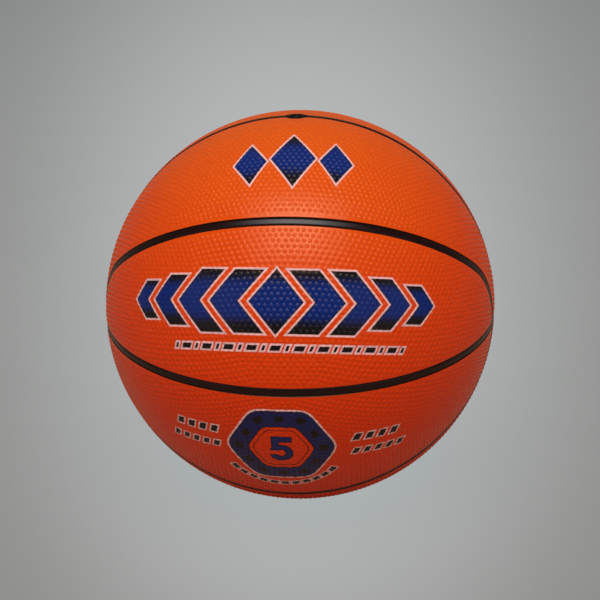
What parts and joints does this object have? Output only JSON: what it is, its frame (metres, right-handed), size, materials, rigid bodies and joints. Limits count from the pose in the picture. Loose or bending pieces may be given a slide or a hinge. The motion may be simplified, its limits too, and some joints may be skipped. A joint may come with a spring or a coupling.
{
  "type": "basketball",
  "caption": "Moulded rubber basketball with panelled, pebbled cover, black seam channels, nylon winding and a bladder with a needle valve.",
  "frame": {"origin": "centre of the ball", "axes": "+Z out through the valve and its needle bore; X through the two points where the ring seam crosses the equator seam; the front loop of the seam is centred on -Y"},
  "size_m": [0.2218, 0.222, 0.2219],
  "materials": {
    "cover_rubber": "satin",
    "strip_rubber": "satin",
    "valve_rubber": "satin",
    "valve_core_rubber": "satin",
    "butyl": "satin",
    "carcass_rubber": "matte",
    "nylon": "satin"
  },
  "bodies": {
    "root": {"bladder": "butyl", "valve_patch": "butyl", "valve_body": "valve_rubber", "valve_core": "valve_core_rubber", "nylon_winding": "nylon", "carcass_upper": "carcass_rubber", "carcass_lower": "carcass_rubber", "panel_front_upper_inner": "cover_rubber", "panel_front_lower_inner": "cover_rubber", "panel_front_upper_outer": "cover_rubber", "panel_front_lower_outer": "cover_rubber", "panel_back_upper_inner": "cover_rubber", "panel_back_lower_inner": "cover_rubber", "panel_back_upper_outer": "cover_rubber", "panel_back_lower_outer": "cover_rubber", "strip_ring": "strip_rubber", "strip_loop_front": "strip_rubber", "strip_loop_back": "strip_rubber", "strip_equator_front": "strip_rubber", "strip_equator_back": "strip_rubber", "strip_cross_front_right": "strip_rubber", "strip_cross_front_left": "strip_rubber", "strip_cross_back_right": "strip_rubber", "strip_cross_back_left": "strip_rubber"}
  },
  "joints": []
}
